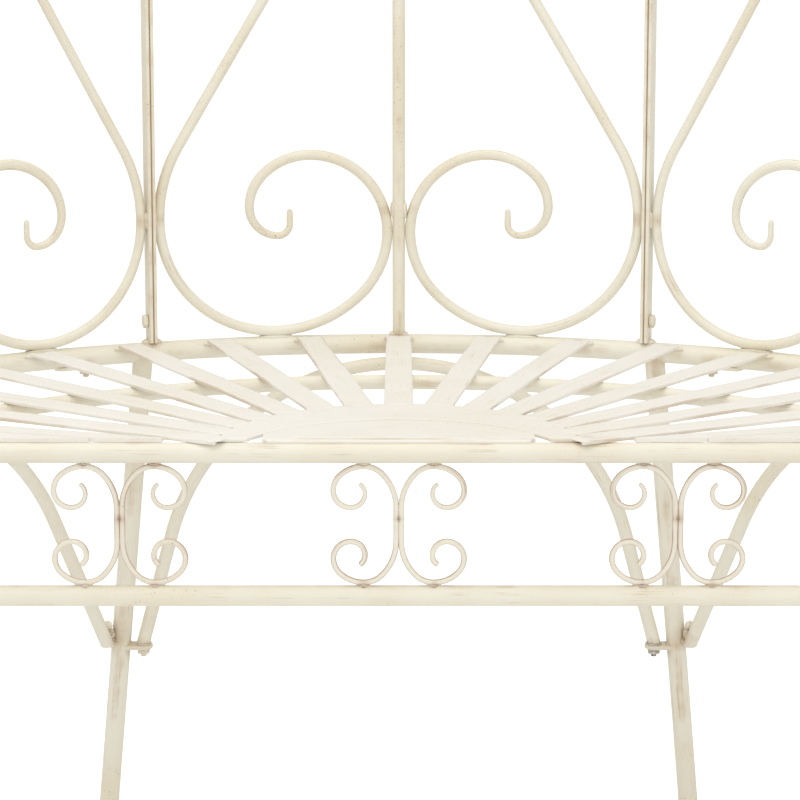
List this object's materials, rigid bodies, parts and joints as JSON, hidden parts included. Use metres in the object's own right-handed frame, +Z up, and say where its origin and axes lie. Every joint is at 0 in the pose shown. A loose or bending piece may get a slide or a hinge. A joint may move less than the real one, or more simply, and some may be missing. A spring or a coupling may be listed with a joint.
{
  "type": "curved garden bench",
  "caption": "Curved metal garden bench with a fan of flat seat slats, a three-panel scrolled back, scrolled front skirt and splayed legs with arched braces.",
  "frame": {"origin": "on the ground under the middle of the bench's bounding box", "axes": "+Z up, +Y towards the back, +X to the sitter's left-hand side as seen from the front, along the front rail"},
  "size_m": [1.397, 0.503, 0.97],
  "materials": {
    "ivory_frame": "warm ivory paint, semi-matte, brushed and rubbed at the edges",
    "ivory_slat": "warm ivory paint, semi-matte, lightly rubbed",
    "zinc_fastener": "dull zinc plate"
  },
  "bodies": {
    "root": {"brace_rear": "ivory_frame", "brace_left": "ivory_frame", "brace_right": "ivory_frame", "leg_rear_left": "ivory_frame", "leg_front_left": "ivory_frame", "brace_bolt_rear_left": "zinc_fastener", "brace_bolt_front_left": "zinc_fastener", "leg_rear_right": "ivory_frame", "leg_front_right": "ivory_frame", "brace_bolt_rear_right": "zinc_fastener", "brace_bolt_front_right": "zinc_fastener", "rail_bolt_left": "zinc_fastener", "rail_bolt_right": "zinc_fastener", "outer_rail": "ivory_frame", "front_rail_upper": "ivory_frame", "front_rail_lower": "ivory_frame", "middle_arc": "ivory_frame", "hub_arc": "ivory_frame", "hub_band": "ivory_slat", "hub_plate": "ivory_slat", "slat_01": "ivory_slat", "slat_02": "ivory_slat", "slat_03": "ivory_slat", "slat_04": "ivory_slat", "slat_05": "ivory_slat", "slat_06": "ivory_slat", "slat_07": "ivory_slat", "slat_08": "ivory_slat", "slat_09": "ivory_slat", "slat_10": "ivory_slat", "slat_11": "ivory_slat", "slat_12": "ivory_slat", "slat_13": "ivory_slat", "slat_14": "ivory_slat", "slat_15": "ivory_slat", "slat_16": "ivory_slat", "slat_17": "ivory_slat", "slat_18": "ivory_slat", "slat_19": "ivory_slat", "skirt_scroll_1": "ivory_frame", "skirt_scroll_2": "ivory_frame", "skirt_scroll_3": "ivory_frame", "skirt_scroll_4": "ivory_frame", "skirt_scroll_5": "ivory_frame", "post_bolt_low_left": "zinc_fastener", "post_bolt_high_left": "zinc_fastener", "post_bolt_low_right": "zinc_fastener", "post_bolt_high_right": "zinc_fastener", "panel_left_frame": "ivory_frame", "panel_left_bar": "ivory_frame", "panel_left_scroll_left": "ivory_frame", "panel_left_scroll_right": "ivory_frame", "panel_centre_frame": "ivory_frame", "panel_centre_bar": "ivory_frame", "panel_centre_scroll_left": "ivory_frame", "panel_centre_scroll_right": "ivory_frame", "panel_right_frame": "ivory_frame", "panel_right_bar": "ivory_frame", "panel_right_scroll_left": "ivory_frame", "panel_right_scroll_right": "ivory_frame"}
  },
  "joints": []
}
